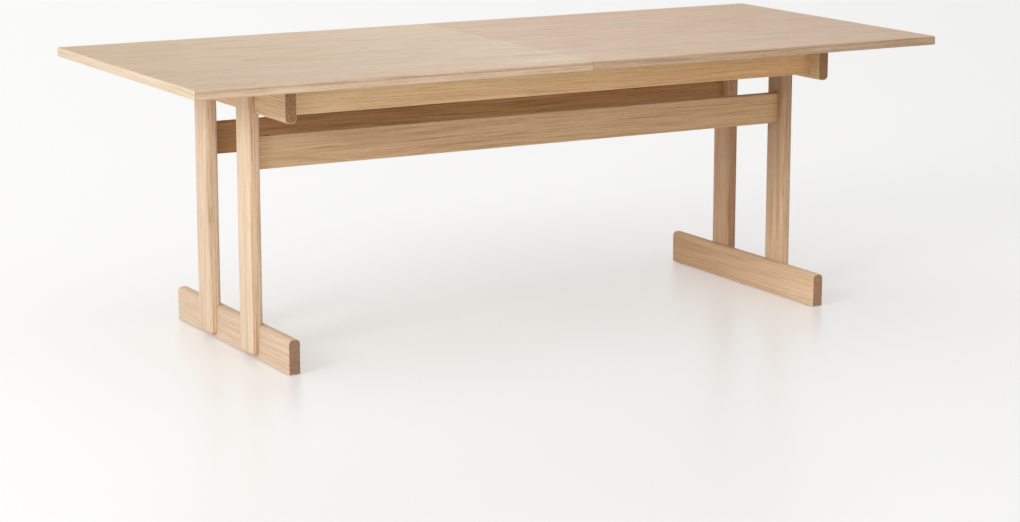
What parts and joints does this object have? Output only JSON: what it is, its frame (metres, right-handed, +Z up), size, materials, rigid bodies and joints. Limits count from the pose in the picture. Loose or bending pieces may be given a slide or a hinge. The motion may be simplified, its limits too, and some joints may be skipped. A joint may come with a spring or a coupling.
{
  "type": "extending dining table",
  "caption": "Oak trestle dining table whose two top halves slide apart on wooden guides to let in a folding leaf stored in the frame.",
  "frame": {"origin": "on the floor under the middle of the closed table", "axes": "+X along the length of the table, +Y from the front to the rear, +Z up"},
  "size_m": [2.2, 0.95, 0.755],
  "materials": {
    "oak_veneer": "white-oiled, satin",
    "oak_lipping": "white-oiled, satin",
    "oak_frame": "white-oiled, satin",
    "beech": "bare, planed",
    "steel": "bright zinc plate",
    "zinc": "dull zinc",
    "brass": "satin",
    "nylon": "moulded",
    "felt": "pressed felt"
  },
  "bodies": {
    "frame": {"pinion_axles": "steel", "guide_front": "beech", "guide_rear": "beech", "apron_front": "oak_frame", "apron_rear": "oak_frame", "batten_left": "oak_frame", "batten_right": "oak_frame", "foot_left": "oak_frame", "foot_right": "oak_frame", "post_front_left": "oak_frame", "post_rear_left": "oak_frame", "post_front_right": "oak_frame", "post_rear_right": "oak_frame", "stretcher_front": "oak_frame", "stretcher_rear": "oak_frame", "stretcher_cams": "zinc", "stretcher_bolts": "steel", "stretcher_dowels": "beech", "foot_glides": "felt", "top_glides": "nylon", "bearer_left": "beech", "bearer_right": "beech", "leaf_rests": "beech", "apron_brackets": "steel", "guide_brackets": "steel", "bearer_brackets": "steel", "bracket_screws": "zinc", "leaf_upper": "oak_veneer", "leaf_lower": "oak_veneer", "leaf_lippings": "oak_lipping", "leaf_hinge_plates": "brass", "leaf_hinge_links": "steel", "leaf_pivots": "steel", "pivot_brackets": "steel"},
    "top_left": {"top_left": "oak_veneer", "lipping_left_front": "oak_lipping", "lipping_left_rear": "oak_lipping", "lipping_left_end": "oak_lipping", "slider_left_front": "beech", "slider_left_rear": "beech", "racks_left": "nylon", "screws_left": "zinc", "seam_dowels": "beech", "latch_plates": "brass", "latch_rivets": "steel"},
    "top_right": {"top_right": "oak_veneer", "lipping_right_front": "oak_lipping", "lipping_right_rear": "oak_lipping", "lipping_right_end": "oak_lipping", "slider_right_front": "beech", "slider_right_rear": "beech", "racks_right": "nylon", "screws_right": "zinc", "latch_keepers": "brass"},
    "pinion_front": {"pinion_front": "nylon"},
    "pinion_rear": {"pinion_rear": "nylon"},
    "latch_front": {"latch_lever_front": "brass"},
    "latch_rear": {"latch_lever_rear": "brass"}
  },
  "joints": [
    {"name": "top_left_slide", "type": "slide", "parent": "frame", "child": "top_left", "axis": [-1, 0, 0], "range_m": [0, 0.252]},
    {"name": "top_right_slide", "type": "slide", "parent": "frame", "child": "top_right", "axis": [1, 0, 0], "range_m": [0, 0.252]},
    {"name": "pinion_front_spin", "type": "hinge", "parent": "frame", "child": "pinion_front", "pos_m": [0, -0.2725, 0.702], "axis": [0, 0, -1], "range_deg": [0, 1080]},
    {"name": "pinion_rear_spin", "type": "hinge", "parent": "frame", "child": "pinion_rear", "pos_m": [0, 0.2725, 0.702], "axis": [0, 0, 1], "range_deg": [0, 1080]},
    {"name": "latch_front_turn", "type": "hinge", "parent": "top_left", "child": "latch_front", "pos_m": [-0.04, -0.405, 0.727], "axis": [0, 0, -1], "range_deg": [0, 90]},
    {"name": "latch_rear_turn", "type": "hinge", "parent": "top_left", "child": "latch_rear", "pos_m": [-0.04, 0.405, 0.727], "axis": [0, 0, 1], "range_deg": [0, 90]}
  ],
  "couplings": [
    {"joint": "top_right_slide", "follows": "top_left_slide", "ratio": 1},
    {"joint": "pinion_front_spin", "follows": "top_left_slide", "rad_per_m": 74.074},
    {"joint": "pinion_rear_spin", "follows": "top_left_slide", "rad_per_m": 74.074}
  ]
}
